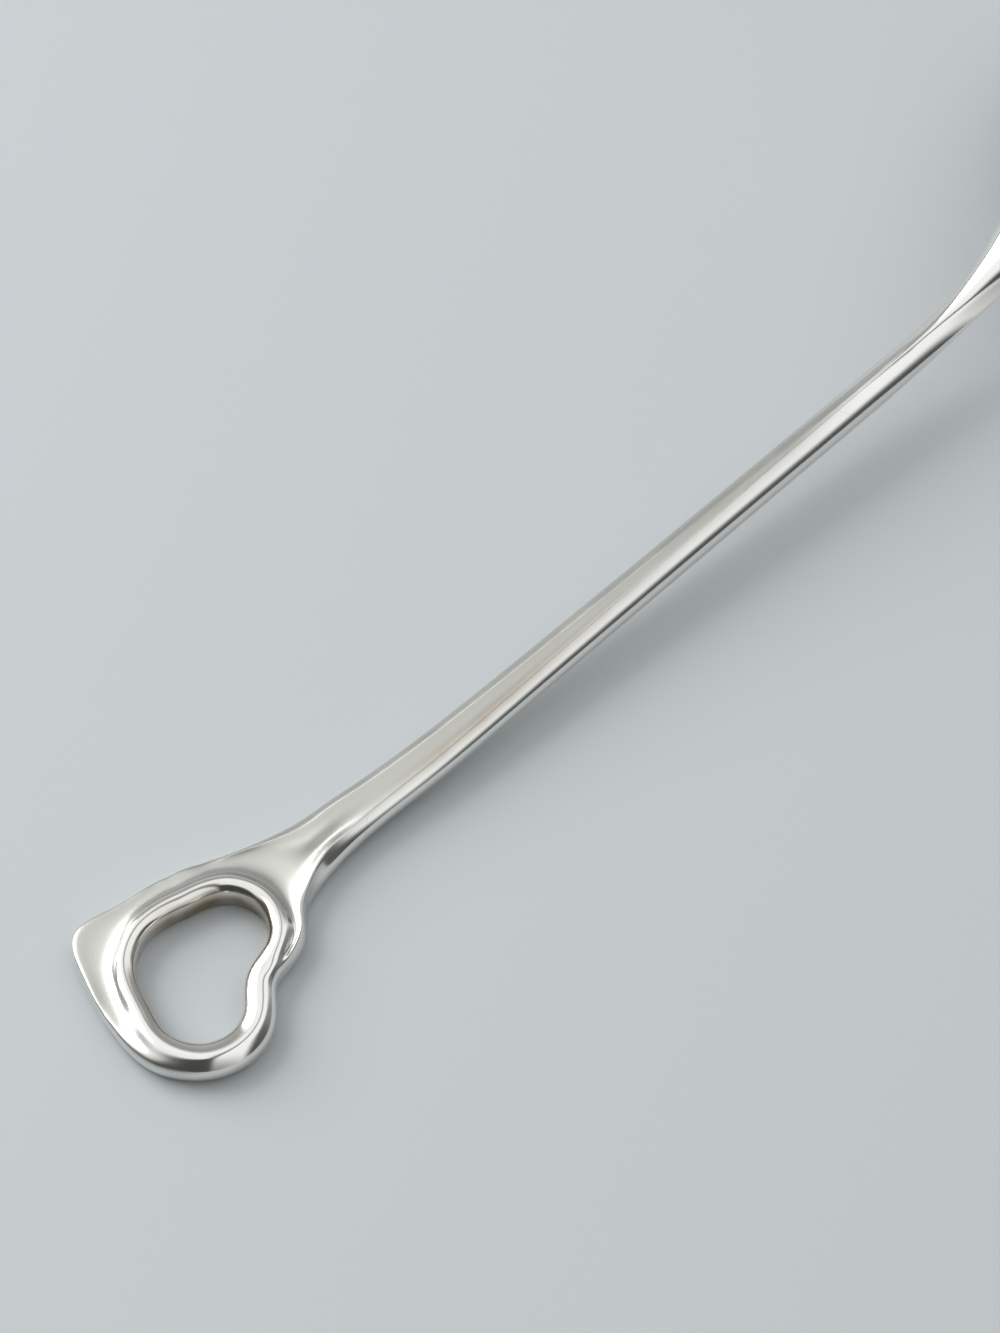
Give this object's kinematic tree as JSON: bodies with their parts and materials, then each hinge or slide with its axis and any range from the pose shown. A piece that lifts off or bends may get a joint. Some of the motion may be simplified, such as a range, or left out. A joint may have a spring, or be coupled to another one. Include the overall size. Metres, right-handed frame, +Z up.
{
  "type": "teaspoon",
  "caption": "Slender silver teaspoon lying face down: egg-shaped bowl, long stem that is flat on the back, and a heart-shaped finger loop at its end.",
  "frame": {"origin": "middle of the spoon's length and width, on the table that it lies on", "axes": "+X along the stem from the loop to the bowl's tip, +Y to the left seen from above with the bowl ahead, +Z up; the spoon lies face down"},
  "size_m": [0.1458, 0.0302, 0.0149],
  "materials": {
    "silver": "polished sterling silver",
    "solder": "hard silver solder, polished flush"
  },
  "bodies": {
    "root": {"bowl": "silver", "stem": "silver", "finger_loop": "silver", "bowl_solder": "solder", "loop_solder": "solder"}
  },
  "joints": []
}
